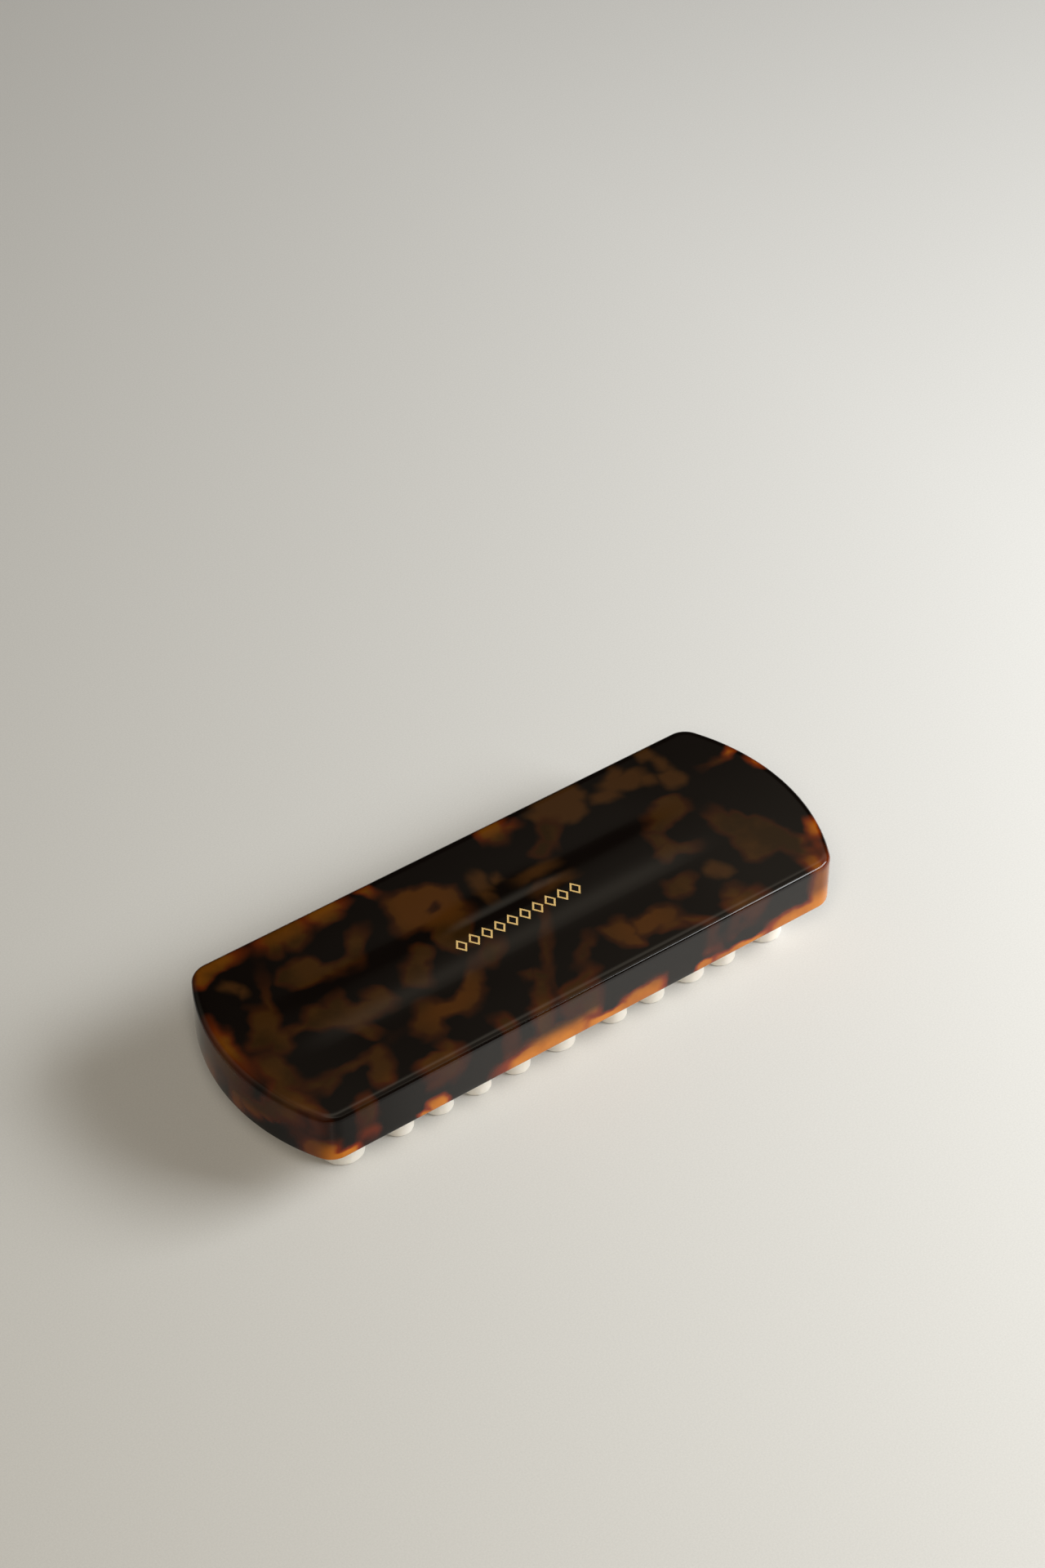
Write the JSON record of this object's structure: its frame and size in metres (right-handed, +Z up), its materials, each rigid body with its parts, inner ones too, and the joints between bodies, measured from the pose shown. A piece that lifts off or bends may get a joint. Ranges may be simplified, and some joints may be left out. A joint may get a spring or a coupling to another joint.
{
  "type": "suede brush",
  "caption": "Suede brush: polished tortoiseshell-pattern block handle with rows of folded white crepe rubber standing on edge beneath it.",
  "frame": {"origin": "middle of the footprint, on the surface that the ribbons stand on", "axes": "+X along the handle's length, +Y across it, +Z up from the ribbons' feet to the polished top"},
  "size_m": [0.15, 0.055, 0.026],
  "materials": {
    "acetate": "polished cellulose acetate, dark brown-black with translucent amber tortoiseshell patches",
    "gold_foil": "hot-stamped gold foil, bright",
    "glue": "cured clear-cream contact adhesive",
    "board": "thin sanded plywood, unvarnished",
    "cement": "cured rubber cement, satin",
    "crepe": "natural white crepe rubber, matt and finely crinkled"
  },
  "bodies": {
    "root": {"handle": "acetate", "foil_mark": "gold_foil", "glue_film": "glue", "backing_board": "board", "cement_bed": "cement", "crepe_ribbon_1": "crepe", "crepe_ribbon_2": "crepe", "crepe_ribbon_3": "crepe", "crepe_ribbon_4": "crepe"}
  },
  "joints": []
}
